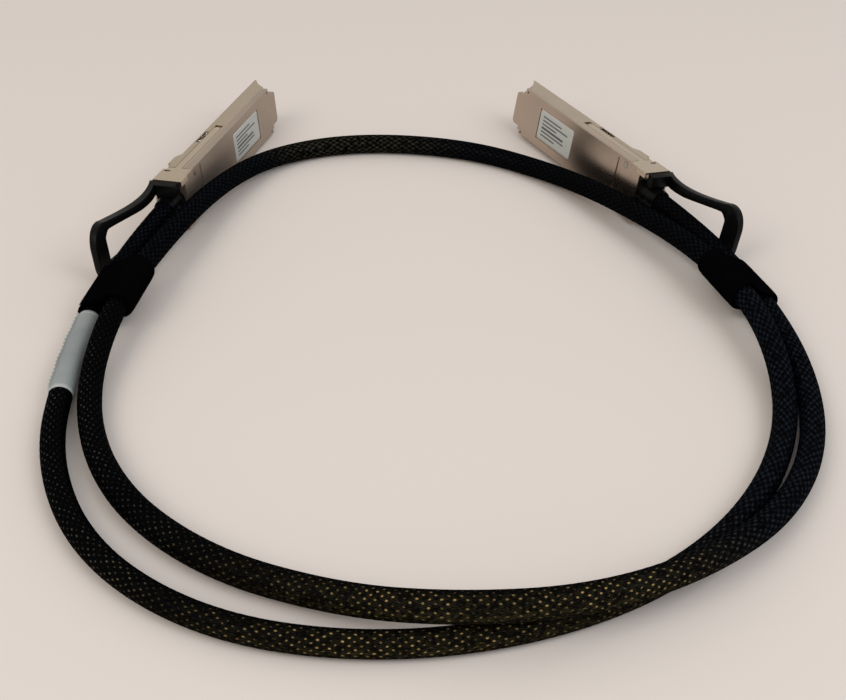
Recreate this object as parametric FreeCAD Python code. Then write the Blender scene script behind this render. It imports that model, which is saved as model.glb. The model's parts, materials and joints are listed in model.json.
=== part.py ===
"""Direct attach copper cable: two quad small form-factor plugs on one braided twinax cable.

Each plug is modelled once in its own frame and placed twice. In the plug's frame +X runs from
the nose to the cable, Y runs across the plug, and Z runs from the label face (0) to the outer
face. In the part's frame the plugs stand on a narrow side, the cable lies on the floor, and +Z
is up. All sizes are in millimetres.
"""
import FreeCAD
import Part
import math
import os
from FreeCAD import Rotation, Vector

# ---------------------------------------------------------------- plug shells
PLUG_WIDTH = 18.35          # across the two narrow sides
FRONT_HEIGHT = 8.5          # label face to outer face, in front of the step
REAR_HEIGHT = 10.1          # the same behind the step
BODY_LENGTH = 72.5          # front edge of the label face to the back wall
NECK_LENGTH = 5.8           # narrower back end, which the latch bracket slides on
COLLAR_LENGTH = 6.7         # raised part in front of the neck
SHOULDER_LENGTH = 2.5       # back end of the collar, whose two outer corners are cut away
SHOULDER_WIDTH = 1.6
STEP_LENGTH = 2.5           # ramp up to the collar
LIP_REACH = 5.7             # cover's lip in front of the base's front edge
LIP_THICKNESS = 1.2
LIP_BEVEL = 0.5             # under the lip
LIP_FACE = 0.8              # top of the lip to its bevel
LIP_CHAMFER = 0.3
CHEEK_REACH = 2.5           # cheek of the cover at half its height
CHEEK_HEIGHT = 5.5
TONGUE_REACH = 4.0          # base's tongue in front of its front edge
TONGUE_WIDTH = 12.5
TONGUE_ROUND = 1.6
SPLIT_HEIGHT = 2.4          # seam between base and cover
FLOOR = 1.2                 # wall of the base
ROOF = 1.2                  # wall of the cover
NOSE_WALL = 1.0             # side walls round the paddle card
MID_WALL = 2.6              # side walls that hold the latch grooves
CARD_BAY_LENGTH = 30.0      # from the front edge
EDGE_ROUND = 0.45           # rounding of the long outer edges
NOTCH_WIDTH = 1.6
NOTCH_DEPTH = 1.1
PIN_HOLE_RADIUS = 0.4       # blind holes beside the tongue
PIN_HOLE_DEPTH = 0.8
PIN_HOLE_INSET = 1.2        # from the side and, behind the notch, from the front
GRIP_DEPTH = 0.35           # shallow recess across the label face, in front of the screws
GRIP_INSET = 1.2
OVER = 1.0                  # how far a cut reaches past what it cuts

# ---------------------------------------------------------------- paddle card
CARD_SIDE_GAP = 0.175       # between the card and the side walls
CARD_THICKNESS = 1.0
CARD_HEIGHT = 3.7           # lower face above the label face
CARD_FRONT = -2.6
CARD_LENGTH = 26.6
CARD_CORNER = 0.5           # cut off its two front corners
CARD_GAP = 0.1              # between the card and the cover's ribs
CONTACT_COUNT = 19          # per side
CONTACT_EDGE = 0.4          # bare strip along the card's long sides
CONTACT_SPACE = 0.26        # between two contacts
CONTACT_LENGTH = 2.4
CONTACT_THICKNESS = 0.06
CONTACT_SETBACK = 0.4       # from the card's front edge
RAIL_WIDTH = 0.9
RAIL_LENGTH = 19.0
RAIL_START = 3.0

# ---------------------------------------------------------------- label
LABEL_START = 12.4
LABEL_LENGTH = 21.2
LABEL_WIDTH = 11.3
LABEL_THICKNESS = 0.15
LABEL_RECESS = 0.25
LABEL_MARGIN = 0.25

# ---------------------------------------------------------------- cable
CABLE_DIAMETER = 6.8
CABLE_HEIGHT = 5.0          # its centre above the label face
CABLE_INSERT = 12.0         # its cut end in front of the back wall
SADDLE_LEAD = 3.5           # saddle in front of the cut end
FIT = 0.1                   # radial clearance round the cable and in the saddles
FERRULE_WALL = 0.4
FERRULE_LENGTH = 5.2
FERRULE_SETBACK = 0.3       # from the cable's cut end
FLANGE_WALL = 0.8
FLANGE_LENGTH = 1.2
FLANGE_OFFSET = 1.6
BOOT_WALL = 0.5
BOOT_GAP = 0.2              # between the ferrule and the boot
BOOT_REACH = 8.0            # boot behind the back wall
BOOT_LUMP = 0.25
BOOT_LIP = 0.25             # thinning at the boot's end
PAIR_COUNT = 4              # per layer, two layers
PAIR_DIAMETER = 1.2
PAIR_SIDES = 8              # flat sides of a pair's taped outline
PAIR_START = 20.0
PAIR_GAP = 0.12             # between a pair and the card
PAIR_END_GAP = 0.2          # between the pairs and the cable's cut end
PAIR_PITCH_AT_CARD = 3.2
PAIR_PITCH_AT_CABLE = 1.4
PAIR_LAYER_AT_CABLE = 0.9

# ---------------------------------------------------------------- latch
SHEET = 0.5                 # sheet metal of the latch slider
SHEET_ROUND = 0.4           # outside of its bends
SLIDE_GAP = 0.15            # clearance between the slider and the shells
SIDE_INSET = 0.02           # slider's sides behind the shells' sides
LATCH_TRAVEL = 2.8
ARM_START = 35.6
ARM_LOW = 3.4
ARM_HIGH = 6.0
CURL_RADIUS = 0.42
CURL_HEIGHT = 1.6
GROOVE_START = 33.8
POCKET_START = 39.0
POCKET_LOW = 5.9
POCKET_HIGH = 7.7
POCKET_DEPTH = 1.5
FINGER_THICKNESS = 0.5
FINGER_GAP = 0.3            # in front of the finger that pushes the spring
BRACKET_SETBACK = 0.2       # bracket's walls behind the collar
BRACKET_DROP = 0.25         # walls below the label face
BRACKET_OVERHANG = 3.5      # bracket behind the back wall
ROOF_SETBACK = 1.5          # bracket's roof behind the collar
EAR_SETBACK = 0.6           # ears in front of the bracket's back edge
EAR_DEPTH = 3.8
EAR_LOW = 2.8
EAR_HIGH = 7.6
TOE_LENGTH = 4.7            # turned-in lower rims, from the bracket's back edge
TOE_WIDTH = 1.9
SLOT_SETBACK = 2.3          # small slots in the walls, behind the collar
SLOT_LENGTH = 0.8
SLOT_LOW = 6.6
SLOT_HIGH = 8.8
SPRING_TURNS = 5
SPRING_WIRE = 0.26
SPRING_RADIUS = 0.5
SPRING_SOLID = 4.9          # length left in the pocket at the end of the travel
SPRING_SIDES = 8            # straight pieces in one turn
SPRING_WIRE_SIDES = 4

# ---------------------------------------------------------------- screws
SCREW_SETBACK = 2.1         # in front of the neck
SCREW_OFFSET = 6.9          # from the plug's centre line
SCREW_HEAD_RADIUS = 1.05
SCREW_HEAD_HEIGHT = 0.5
SCREW_HEAD_RISE = 0.05      # proud of the label face
SCREW_RADIUS = 0.6
SCREW_LENGTH = 6.5
SCREW_MARGIN = 0.6          # between a head and the grip recess
THREAD_GAP = 0.02

# ---------------------------------------------------------------- pull tab
TAB_THICKNESS = 2.7
TAB_ROOT_LOW = 0.6
TAB_ROOT_LENGTH = 2.6
TAB_ROOT_OUTER = 8.8        # half width over the root plates
TAB_ROOT_INNER = 4.6        # inner side of the root plates from the centre line
TAB_CORNER = 11.0           # outermost corner behind the bracket
TAB_DIP = 10.1              # outer face where the leg dips
TAB_CREST = 13.0            # outer face where the leg crests
TAB_END_DROP = 1.0          # outer face from the crest to the end
TAB_END_SWELL = 0.4         # less drop on the inner face, so that the end is thicker
TAB_LENGTH = 39.85          # bracket's back edge to the loop's end
TAB_BAR = 7.4               # length of the end bar along X
TAB_WAIST = 0.41            # place of the dip and the narrowest width, as a share of the legs
TAB_NECK = 8.0              # half width at the waist
TAB_HALF_WIDTH = 9.1        # half width near the end
TAB_LEG = 3.0               # width of a leg
TAB_SHOULDER = 2.0          # from the bar back to the widest place and the crest
TAB_END_ROUND = 6.0         # width of the rounded end corners
TAB_END_BULGE = 1.9         # a corner curve's middle point from the loop's end
TAB_SIDE_BULGE = 1.5        # and from its side
TAB_HOLE_ROUND = 1.8
TAB_LIFT = 1.1              # sideways lift of the loop's end from the floor
TAB_GAP = 0.15

# ---------------------------------------------------------------- ties and label wrap
TIE_WIDTH = 20.0
TIE_WALL = 1.1
TIE_FIT = 0.12
WRAP_WALL = 0.2
WRAP_FIT = 0.08
WRAP_LENGTH = 36.0
WRAP_GAP = 0.7              # between the left tie and the wrap
WRAP_MARGIN = 0.3           # free space round the wrap where it is cut out

# ---------------------------------------------------------------- places
# x and y of a plug's back wall, its yaw, and its turn about its own length
LEFT_PLACE = (-79.32, -19.31, -107.72, 93.75)
RIGHT_PLACE = (73.47, -15.60, -60.92, -100.2)
LEAD = 12.0                 # straight cable from a boot's end
LEFT_TIE = (-69.4, -1)      # line of its middle along Y, side of the part it is on
RIGHT_TIE = (-63.4, 1)
LEFT_BEND = 0.0             # how much a loop is shortened by its bend
RIGHT_BEND = 3.0

# Points of the cable's route between the two leads, from the left plug to the right one.
ROUTE = [
    (-99.7, -69.4, 4.9), (-102.7, -106.4, 3.9), (-99.7, -144.4, 3.6), (-82.2, -179.4, 3.6),
    (-50.2, -202.4, 3.6), (-11.2, -209.4, 3.6), (28.3, -203.6, 3.6), (63.1, -186.6, 3.6),
    (89.0, -159.2, 3.6), (103.8, -123.9, 3.6), (102.6, -86.4, 10.4), (89.3, -51.4, 10.9),
    (68.8, -19.4, 9.2), (47.3, 12.1, 3.6), (16.3, 30.6, 3.6), (-24.2, 35.6, 3.6),
    (-55.2, 24.1, 3.8), (-71.2, -6.9, 8.8), (-83.2, -45.9, 11.3), (-93.2, -84.4, 10.4),
    (-94.7, -121.4, 3.6), (-80.2, -157.4, 3.6), (-53.2, -182.4, 3.6), (-19.2, -195.9, 4.5),
    (9.8, -205.2, 11.8), (38.8, -202.4, 11.8), (66.8, -190.1, 10.5), (92.8, -166.6, 5.8),
    (108.3, -135.9, 3.6), (111.6, -99.4, 3.6), (104.3, -62.4, 4.9),
]

HALF = PLUG_WIDTH / 2
INNER = HALF - NOSE_WALL
CARD_HALF = INNER - CARD_SIDE_GAP
CONTACT_PITCH = 2 * (CARD_HALF - CONTACT_EDGE) / CONTACT_COUNT
CONTACT_HALF = (CONTACT_PITCH - CONTACT_SPACE) / 2
NECK_START = BODY_LENGTH - NECK_LENGTH
STEP_END = NECK_START - COLLAR_LENGTH
STEP_START = STEP_END - STEP_LENGTH
CABLE_START = BODY_LENGTH - CABLE_INSERT
CAVITY_END = CABLE_START - SADDLE_LEAD
CABLE_RADIUS = CABLE_DIAMETER / 2
FERRULE_START = CABLE_START + FERRULE_SETBACK
FERRULE_END = FERRULE_START + FERRULE_LENGTH
FERRULE_RADIUS = CABLE_RADIUS + FIT + FERRULE_WALL
FLANGE_START = CABLE_START + FLANGE_OFFSET
FLANGE_RADIUS = CABLE_RADIUS + FIT + FLANGE_WALL
BOOT_RADIUS = CABLE_RADIUS + FIT + BOOT_WALL
BOOT_END = BODY_LENGTH + BOOT_REACH
SCREW_X = NECK_START - SCREW_SETBACK
SLIDER_OUTER = HALF - SIDE_INSET
SLIDER_INNER = SLIDER_OUTER - SHEET
NECK_HALF = SLIDER_INNER - SLIDE_GAP
NECK_HEIGHT = REAR_HEIGHT - SHEET - SLIDE_GAP
FINGER_START = POCKET_START + FINGER_GAP
SPRING_START = FINGER_START + FINGER_THICKNESS
POCKET_END = SPRING_START + LATCH_TRAVEL + SPRING_SOLID
BRACKET_START = NECK_START + BRACKET_SETBACK
BRACKET_END = BODY_LENGTH + BRACKET_OVERHANG
EAR_START = BRACKET_END - EAR_SETBACK
TAB_START = BRACKET_END + TAB_GAP
TAB_ROOT_END = TAB_START + TAB_ROOT_LENGTH


def box(x0, x1, y0, y1, z0, z1):
    """A block between two corners."""
    return Part.makeBox(x1 - x0, y1 - y0, z1 - z0, Vector(x0, y0, z0))


def both_sides(x0, x1, y0, y1, z0, z1):
    """The same block on both sides of the plug's centre line."""
    return [box(x0, x1, y0, y1, z0, z1), box(x0, x1, -y1, -y0, z0, z1)]


def rod(x0, x1, radius, y=0.0, z=CABLE_HEIGHT):
    """A cylinder along X."""
    return Part.makeCylinder(radius, x1 - x0, Vector(x0, y, z), Vector(1, 0, 0))


def side_profile(points, half_width):
    """A profile in the XZ plane, extruded across the plug."""
    corners = [Vector(x, -half_width, z) for x, z in points]
    face = Part.Face(Part.makePolygon(corners + corners[:1]))
    return face.extrude(Vector(0, 2 * half_width, 0))


def plan_profile(points, z0, z1):
    """A profile in the XY plane, extruded along Z."""
    corners = [Vector(x, y, z0) for x, y in points]
    face = Part.Face(Part.makePolygon(corners + corners[:1]))
    return face.extrude(Vector(0, 0, z1 - z0))


def long_edges(shape, inside, length):
    """Straight edges along X that are longer than length and pass the test inside(y, z)."""
    found = []
    for edge in shape.Edges:
        start, end = edge.Vertexes[0].Point, edge.Vertexes[-1].Point
        along = abs(end.x - start.x) > length
        level = abs(end.y - start.y) < 1e-6 and abs(end.z - start.z) < 1e-6
        if along and level and inside(start.y, start.z):
            found.append(edge)
    return found


def shell_voids():
    """Everything that both shells leave free: card bay, cavity, saddles, grooves and holes."""
    mid = HALF - MID_WALL
    groove = HALF - SHEET - 2 * SLIDE_GAP
    outside = HALF + OVER
    voids = [
        box(-LIP_REACH - OVER, CARD_BAY_LENGTH, -INNER, INNER, FLOOR, FRONT_HEIGHT - ROOF),
        box(CARD_BAY_LENGTH - OVER, CAVITY_END, -mid, mid, FLOOR, FRONT_HEIGHT - ROOF),
        rod(CAVITY_END - OVER, BODY_LENGTH + OVER, BOOT_RADIUS + FIT),
        rod(FLANGE_START - FIT, FLANGE_START + FLANGE_LENGTH + FIT, FLANGE_RADIUS + FIT)]
    voids += both_sides(GROOVE_START, NECK_START + OVER, groove, outside,
                        ARM_LOW - SLIDE_GAP, ARM_HIGH + SLIDE_GAP)
    voids += both_sides(POCKET_START, POCKET_END, HALF - POCKET_DEPTH, outside,
                        POCKET_LOW, POCKET_HIGH)
    voids += both_sides(NECK_START, BODY_LENGTH + OVER, NECK_HALF, outside,
                        -OVER, REAR_HEIGHT + OVER)
    for side in (-1, 1):
        seat = Vector(SCREW_X, side * SCREW_OFFSET, -OVER)
        voids.append(Part.makeCylinder(SCREW_RADIUS + THREAD_GAP, SCREW_LENGTH + OVER, seat))
        voids.append(Part.makeCylinder(SCREW_HEAD_RADIUS + FIT, SCREW_HEAD_HEIGHT + OVER, seat))
    return voids


def base_shell():
    """Lower shell with the label face, the tongue at the nose and the rails under the card."""
    body = box(0, BODY_LENGTH, -HALF, HALF, 0, SPLIT_HEIGHT)
    body = body.makeFillet(EDGE_ROUND, long_edges(body, lambda y, z: z < EDGE_ROUND,
                                                  BODY_LENGTH / 2))
    half_tongue = TONGUE_WIDTH / 2
    tongue = box(-TONGUE_REACH, TONGUE_REACH, -half_tongue, half_tongue, 0, FLOOR)
    tips = [edge for edge in tongue.Edges if edge.BoundBox.XMax < 0 and edge.BoundBox.YLength < FIT
            and edge.BoundBox.ZLength > FIT]
    tongue = tongue.makeFillet(TONGUE_ROUND, tips)
    body = body.fuse(tongue).cut(shell_voids())
    notches = both_sides(-OVER, NOTCH_DEPTH, HALF - NOTCH_WIDTH, HALF + OVER,
                         -OVER, SPLIT_HEIGHT + OVER)
    edge = LABEL_WIDTH / 2 + LABEL_MARGIN
    recess = box(LABEL_START - LABEL_MARGIN, LABEL_START + LABEL_LENGTH + LABEL_MARGIN,
                 -edge, edge, -OVER, LABEL_RECESS)
    grip = box(STEP_END, SCREW_X - SCREW_HEAD_RADIUS - SCREW_MARGIN,
               -HALF + GRIP_INSET, HALF - GRIP_INSET, -OVER, GRIP_DEPTH)
    holes = [Part.makeCylinder(PIN_HOLE_RADIUS, PIN_HOLE_DEPTH,
                               Vector(NOTCH_DEPTH + PIN_HOLE_INSET, s * (HALF - PIN_HOLE_INSET), 0))
             for s in (-1, 1)]
    body = body.cut(notches + [recess, grip] + holes)
    rails = both_sides(RAIL_START, RAIL_START + RAIL_LENGTH, INNER - RAIL_WIDTH, INNER,
                       FLOOR, CARD_HEIGHT)
    return body.fuse(rails).removeSplitter()


def cover_shell():
    """Upper shell: nose lip and cheeks, latch grooves, spring pockets and the raised back."""
    top = FRONT_HEIGHT
    outline = [(0, SPLIT_HEIGHT), (-CHEEK_REACH, CHEEK_HEIGHT),
               (-LIP_REACH + LIP_BEVEL, top - LIP_THICKNESS), (-LIP_REACH, top - LIP_FACE),
               (-LIP_REACH, top - LIP_CHAMFER), (-LIP_REACH + LIP_CHAMFER, top),
               (STEP_START, top), (STEP_END, REAR_HEIGHT),
               (NECK_START, REAR_HEIGHT), (NECK_START, NECK_HEIGHT),
               (BODY_LENGTH, NECK_HEIGHT), (BODY_LENGTH, SPLIT_HEIGHT)]
    body = side_profile(outline, HALF)
    upper = long_edges(body, lambda y, z: z > top - EDGE_ROUND, COLLAR_LENGTH / 2)
    body = body.makeFillet(EDGE_ROUND, upper)
    shoulders = both_sides(NECK_START - SHOULDER_LENGTH, BODY_LENGTH + OVER,
                           HALF - SHOULDER_WIDTH, HALF + OVER, top, REAR_HEIGHT + OVER)
    body = body.cut(shell_voids() + shoulders)
    ribs = both_sides(RAIL_START, RAIL_START + RAIL_LENGTH, INNER - RAIL_WIDTH, INNER,
                      CARD_HEIGHT + CARD_THICKNESS + CARD_GAP, FRONT_HEIGHT - ROOF)
    return body.fuse(ribs).removeSplitter()


def paddle_card():
    """Printed card whose front edge carries the contacts, with its two front corners cut."""
    back = CARD_FRONT + CARD_LENGTH
    outline = [(CARD_FRONT, CARD_CORNER - CARD_HALF), (CARD_FRONT, CARD_HALF - CARD_CORNER),
               (CARD_FRONT + CARD_CORNER, CARD_HALF), (back, CARD_HALF), (back, -CARD_HALF),
               (CARD_FRONT + CARD_CORNER, -CARD_HALF)]
    return plan_profile(outline, CARD_HEIGHT, CARD_HEIGHT + CARD_THICKNESS)


def gold_contacts():
    """Contact fingers on both faces of the card."""
    fingers = []
    start = CARD_FRONT + CONTACT_SETBACK
    for index in range(CONTACT_COUNT):
        y = (index - (CONTACT_COUNT - 1) / 2) * CONTACT_PITCH
        for z in (CARD_HEIGHT - CONTACT_THICKNESS, CARD_HEIGHT + CARD_THICKNESS):
            fingers.append(box(start, start + CONTACT_LENGTH, y - CONTACT_HALF,
                               y + CONTACT_HALF, z, z + CONTACT_THICKNESS))
    return Part.makeCompound(fingers)


def prism(start, end, radius, sides):
    """A straight bar with a regular outline."""
    run = end - start
    out = run.cross(Vector(0, 0, 1)).normalize() * radius
    over = run.cross(out).normalize() * radius
    turns = [2 * math.pi * (index + 0.5) / sides for index in range(sides)]
    ring = [start + out * math.cos(turn) + over * math.sin(turn) for turn in turns]
    return Part.Face(Part.makePolygon(ring + ring[:1])).extrude(run)


def twinax_pairs():
    """Taped pairs of the cable fanned out from its cut end to both faces of the card."""
    pairs = []
    radius = PAIR_DIAMETER / 2
    rise = CARD_THICKNESS / 2 + radius + PAIR_GAP
    middle = CARD_HEIGHT + CARD_THICKNESS / 2
    for index in range(PAIR_COUNT):
        place = index - (PAIR_COUNT - 1) / 2
        for layer in (-1, 1):
            start = Vector(PAIR_START, place * PAIR_PITCH_AT_CARD, middle + layer * rise)
            end = Vector(CABLE_START - PAIR_END_GAP, place * PAIR_PITCH_AT_CABLE,
                         CABLE_HEIGHT + layer * PAIR_LAYER_AT_CABLE)
            pairs.append(prism(start, end, radius, PAIR_SIDES))
    return Part.makeCompound(pairs)


def crimp_ferrule():
    """Metal sleeve crimped on the cable's end, with a flange that sits in the shells."""
    sleeve = rod(FERRULE_START, FERRULE_END, FERRULE_RADIUS)
    flange = rod(FLANGE_START, FLANGE_START + FLANGE_LENGTH, FLANGE_RADIUS)
    bore = rod(FERRULE_START - OVER, FERRULE_END + OVER, CABLE_RADIUS + FIT)
    return sleeve.fuse(flange).cut(bore)


def cable_boot():
    """Shrunk sleeve over the cable where it leaves the plug, a little uneven along its length."""
    start = FERRULE_END + BOOT_GAP
    lumps = [(0.08, 0), (0.28, BOOT_LUMP), (0.48, -BOOT_LUMP / 2), (0.72, BOOT_LUMP / 2),
             (1, -BOOT_LIP)]
    inner = CABLE_RADIUS + FIT
    stations = [(start, inner), (start, BOOT_RADIUS)]
    stations += [(BODY_LENGTH + share * BOOT_REACH, BOOT_RADIUS + rise) for share, rise in lumps]
    stations.append((BOOT_END, inner))
    corners = [Vector(x, 0, CABLE_HEIGHT + radius) for x, radius in stations]
    face = Part.Face(Part.makePolygon(corners + corners[:1]))
    return face.revolve(Vector(0, 0, CABLE_HEIGHT), Vector(1, 0, 0), 360)


def latch_bracket():
    """Folded sheet round the neck, open below, with its walls and roof stepped at the front."""
    block = box(BRACKET_START, BRACKET_END, -SLIDER_OUTER, SLIDER_OUTER, -BRACKET_DROP, REAR_HEIGHT)
    roof_start = NECK_START + ROOF_SETBACK
    hollow = box(BRACKET_START - OVER, BRACKET_END + OVER, -SLIDER_INNER, SLIDER_INNER,
                 -BRACKET_DROP - OVER, REAR_HEIGHT - SHEET)
    front = box(BRACKET_START - OVER, roof_start, -HALF, HALF, FRONT_HEIGHT, REAR_HEIGHT + OVER)
    bracket = block.cut([hollow, front])
    rims = long_edges(bracket, lambda y, z: z > REAR_HEIGHT - SHEET / 2
                      and abs(y) > SLIDER_INNER + SHEET / 2, (BRACKET_END - roof_start) / 2)
    return bracket.makeFillet(SHEET_ROUND, rims)


def latch_slider():
    """Stamped slider: bracket round the plug's neck, two arms with curled ends, two ears."""
    slot_start = NECK_START + SLOT_SETBACK
    parts = both_sides(ARM_START, BRACKET_START + SHEET, SLIDER_INNER, SLIDER_OUTER,
                       ARM_LOW, ARM_HIGH)
    parts += both_sides(FINGER_START, FINGER_START + FINGER_THICKNESS,
                        HALF - POCKET_DEPTH + SLIDE_GAP, SLIDER_OUTER,
                        (ARM_HIGH + POCKET_LOW) / 2, POCKET_HIGH - SLIDE_GAP)
    parts += both_sides(EAR_START, EAR_START + SHEET, HALF - EAR_DEPTH, SLIDER_OUTER,
                        EAR_LOW, EAR_HIGH)
    parts += both_sides(BRACKET_END - TOE_LENGTH, BRACKET_END, SLIDER_OUTER - TOE_WIDTH,
                        SLIDER_OUTER, -BRACKET_DROP - SHEET, -BRACKET_DROP)
    low_curl = (ARM_LOW + ARM_HIGH - CURL_HEIGHT) / 2
    for side in (-1, 1):
        seat = Vector(ARM_START, side * (SLIDER_OUTER - SHEET / 2), low_curl)
        parts.append(Part.makeCylinder(CURL_RADIUS, CURL_HEIGHT, seat))
    slots = both_sides(slot_start, slot_start + SLOT_LENGTH, SLIDER_INNER - OVER, HALF + OVER,
                       SLOT_LOW, SLOT_HIGH)
    return latch_bracket().fuse(parts).cut(slots).removeSplitter()


def return_springs():
    """Two compression springs in the side pockets, between the slider's fingers and the body."""
    start = SPRING_START + SPRING_WIRE
    length = POCKET_END - SPRING_WIRE - start
    height = (POCKET_LOW + POCKET_HIGH) / 2
    steps = SPRING_TURNS * SPRING_SIDES
    springs = []
    for side in (-1, 1):
        y = side * (HALF - POCKET_DEPTH / 2)
        points = []
        for index in range(steps + 1):
            angle = 2 * math.pi * index / SPRING_SIDES
            points.append(Vector(start + length * index / steps,
                                 y + SPRING_RADIUS * math.cos(angle),
                                 height + SPRING_RADIUS * math.sin(angle)))
        path = Part.makePolygon(points)
        ahead = (points[1] - points[0]).normalize()
        out = Vector(0, 1, 0)
        over = ahead.cross(out).normalize() * (SPRING_WIRE / 2)
        out = over.cross(ahead)
        ring = []
        for index in range(SPRING_WIRE_SIDES + 1):
            angle = 2 * math.pi * index / SPRING_WIRE_SIDES
            ring.append(points[0] + out * math.cos(angle) + over * math.sin(angle))
        section = Part.makePolygon(ring)
        springs.append(path.makePipeShell([section], True, False, 1))
    return Part.makeCompound(springs)


def smooth_wire(points):
    """A smooth curve through the points."""
    curve = Part.BSplineCurve()
    curve.interpolate(points)
    return curve.toShape()


def chain(points):
    """Straight edges from each point to the next one."""
    return [Part.makeLine(a, b) for a, b in zip(points, points[1:])]


def tab_strip(reach, end):
    """Side view of the loop, extruded across it: upright root plates and S-shaped legs."""
    y = -PLUG_WIDTH
    waist = TAB_START + TAB_WAIST * (reach - TAB_START)
    crest = reach - TAB_SHOULDER
    under = TAB_CORNER - TAB_THICKNESS
    outer = [Vector(TAB_START, y, TAB_CORNER), Vector(waist, y, TAB_DIP),
             Vector(crest, y, TAB_CREST), Vector(end, y, TAB_CREST - TAB_END_DROP)]
    inner = [Vector(TAB_ROOT_END, y, under), Vector(waist, y, TAB_DIP - TAB_THICKNESS),
             Vector(crest, y, TAB_CREST - TAB_THICKNESS),
             Vector(end, y, TAB_CREST - TAB_END_DROP + TAB_END_SWELL - TAB_THICKNESS)]
    root = [inner[0], Vector(TAB_ROOT_END, y, TAB_ROOT_LOW), Vector(TAB_START, y, TAB_ROOT_LOW),
            outer[0]]
    edges = [smooth_wire(outer), smooth_wire(inner)] + chain([outer[-1], inner[-1]]) + chain(root)
    return Part.Face(Part.Wire(Part.__sortEdges__(edges))).extrude(Vector(0, 2 * PLUG_WIDTH, 0))


def tab_plan(reach, end, shift):
    """Outline of the loop seen square to the outer face, its end moved sideways by shift."""
    waist = TAB_START + TAB_WAIST * (reach - TAB_START)
    sag = TAB_WAIST ** 2 * shift
    widest = reach - TAB_SHOULDER
    edges = []
    tips = []
    for side in (1, -1):
        flare = side * TAB_HALF_WIDTH + shift
        tip = flare - side * TAB_END_ROUND
        corner = Vector(end - TAB_END_BULGE, flare - side * TAB_SIDE_BULGE, 0)
        edges.append(smooth_wire([Vector(TAB_START, side * TAB_ROOT_OUTER, 0),
                                  Vector(waist, side * TAB_NECK + sag, 0),
                                  Vector(widest, flare, 0)]))
        edges.append(Part.Arc(Vector(widest, flare, 0), corner, Vector(end, tip, 0)).toShape())
        tips.append(Vector(end, tip, 0))
    edges += chain(tips)
    edges += chain([Vector(TAB_START, side * TAB_ROOT_OUTER, 0) for side in (1, -1)])
    plan = Part.Face(Part.Wire(Part.__sortEdges__(edges))).extrude(Vector(0, 0, 2 * TAB_CREST))
    return plan.cut(tab_hole(waist, sag, reach, shift))


def tab_hole(waist, sag, reach, shift):
    """Opening of the loop, between the root plates and the end bar, with rounded corners."""
    half_waist = TAB_NECK - TAB_LEG
    half_end = TAB_HALF_WIDTH - TAB_LEG
    upper = [(TAB_START - OVER, TAB_ROOT_INNER), (TAB_ROOT_END, TAB_ROOT_INNER),
             (waist, half_waist + sag), (reach - TAB_SHOULDER, half_end + shift),
             (reach, half_end - TAB_SHOULDER + shift)]
    lower = [(TAB_START - OVER, -TAB_ROOT_INNER), (TAB_ROOT_END, -TAB_ROOT_INNER),
             (waist, -half_waist + sag), (reach - TAB_SHOULDER, -half_end + shift),
             (reach, TAB_SHOULDER - half_end + shift)]
    hole = plan_profile(upper + lower[::-1], -OVER, 2 * TAB_CREST + OVER)
    upright = [edge for edge in hole.Edges if edge.BoundBox.ZLength > TAB_CREST
               and edge.BoundBox.XMin > waist - OVER]
    return hole.makeFillet(TAB_HOLE_ROUND, upright)


def pull_tab(lift_side, bend):
    """Moulded loop: two root plates behind the bracket's ears, two legs and an end bar."""
    end = TAB_START + TAB_LENGTH - bend
    reach = end - TAB_BAR
    plan = tab_plan(reach, end, lift_side * TAB_LIFT)
    return tab_strip(reach, end).common(plan).removeSplitter()


def shell_screws():
    """Two small screws through the base into the cover."""
    screws = []
    for side in (-1, 1):
        seat = Vector(SCREW_X, side * SCREW_OFFSET, -SCREW_HEAD_RISE)
        head = Part.makeCylinder(SCREW_HEAD_RADIUS, SCREW_HEAD_HEIGHT, seat)
        shank = Part.makeCylinder(SCREW_RADIUS, SCREW_LENGTH, seat)
        screws.append(head.fuse(shank).removeSplitter())
    return Part.makeCompound(screws)


def label():
    """Blank paper label in the recess of the label face."""
    low = LABEL_RECESS - LABEL_THICKNESS
    return box(LABEL_START, LABEL_START + LABEL_LENGTH, -LABEL_WIDTH / 2, LABEL_WIDTH / 2,
               low, LABEL_RECESS)


def plug_pieces(lift_side, bend):
    """Every piece of one plug in the plug's own frame."""
    return {
        "base_shell": base_shell(),
        "cover_shell": cover_shell(),
        "paddle_card": paddle_card(),
        "gold_contacts": gold_contacts(),
        "twinax_pairs": twinax_pairs(),
        "crimp_ferrule": crimp_ferrule(),
        "cable_boot": cable_boot(),
        "latch_slider": latch_slider(),
        "return_springs": return_springs(),
        "pull_tab": pull_tab(lift_side, bend),
        "shell_screws": shell_screws(),
        "label": label(),
    }


def plug_placement(place, pieces):
    """Placement that stands a plug on its lowest edge, its back wall at its place."""
    x, y, yaw, turn = place
    rotation = Rotation(Vector(0, 0, 1), yaw).multiply(Rotation(Vector(1, 0, 0), turn))
    stand = Part.makeCompound([pieces["base_shell"], pieces["cover_shell"],
                               pieces["latch_slider"]])
    stand.Placement = FreeCAD.Placement(Vector(0, 0, 0), rotation)
    lowest = stand.optimalBoundingBox().ZMin
    nose = Vector(x, y, 0) - Rotation(Vector(0, 0, 1), yaw).multVec(Vector(BODY_LENGTH, 0, 0))
    return FreeCAD.Placement(nose - Vector(0, 0, lowest), rotation)


def cable_ends(placement):
    """Cut end, boot end and end of the straight lead of one cable end."""
    return [placement.multVec(Vector(x, 0, CABLE_HEIGHT)) for x in (CABLE_START, BOOT_END + LEAD)]


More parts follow.
